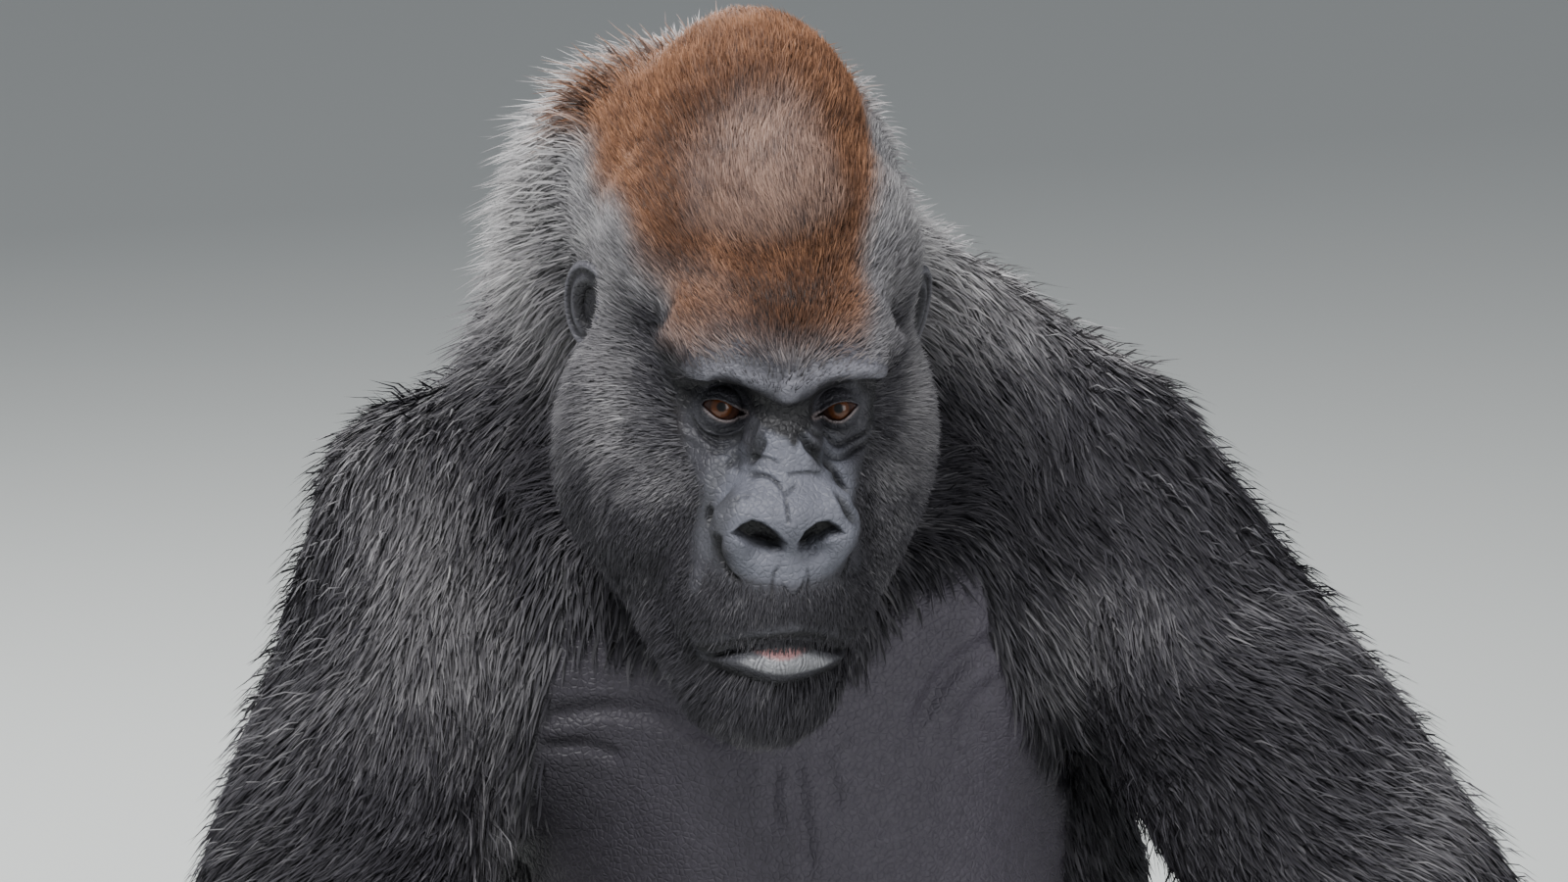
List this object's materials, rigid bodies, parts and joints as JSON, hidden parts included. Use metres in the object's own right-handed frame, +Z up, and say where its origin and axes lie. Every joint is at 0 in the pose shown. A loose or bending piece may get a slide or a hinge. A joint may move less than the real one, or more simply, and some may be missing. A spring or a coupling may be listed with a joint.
{
  "type": "gorilla, adult male western lowland silverback",
  "caption": "Sitting silverback gorilla leaning forward on the knuckles of both hands, head lowered, life size, a still model.",
  "frame": {"origin": "on the floor, under the middle of the bounding box", "axes": "+Z up, -Y the way the body faces, +X the animal's left; the long side is the height"},
  "size_m": [0.896, 0.9916, 1.0357],
  "materials": {
    "crown_coat": "short dense rust-brown hair of the crown, greying at the temples and cheeks",
    "silver_coat": "short silver-grey hair of the nape and back, darker at the rump",
    "dark_coat": "long wavy grey-black hair of the arms and legs, with paler streaks",
    "bare_skin": "bare, creased, near-black skin with a soft sheen",
    "eye": "wet, glossy eyeball with an amber-brown iris"
  },
  "bodies": {
    "root": {"head": "crown_coat", "muzzle": "bare_skin", "lower_jaw": "bare_skin", "neck": "silver_coat", "chest": "bare_skin", "belly_and_rump": "silver_coat", "upper_arm_right": "dark_coat", "upper_arm_left": "dark_coat", "forearm_right": "dark_coat", "forearm_left": "dark_coat", "hand_right": "bare_skin", "hand_left": "bare_skin", "fingers_right": "bare_skin", "fingers_left": "bare_skin", "thigh_right": "dark_coat", "thigh_left": "dark_coat", "shin_right": "dark_coat", "shin_left": "dark_coat", "foot_right": "bare_skin", "foot_left": "bare_skin", "ear_right": "bare_skin", "ear_left": "bare_skin", "eye_right": "eye", "eye_left": "eye"}
  },
  "joints": []
}
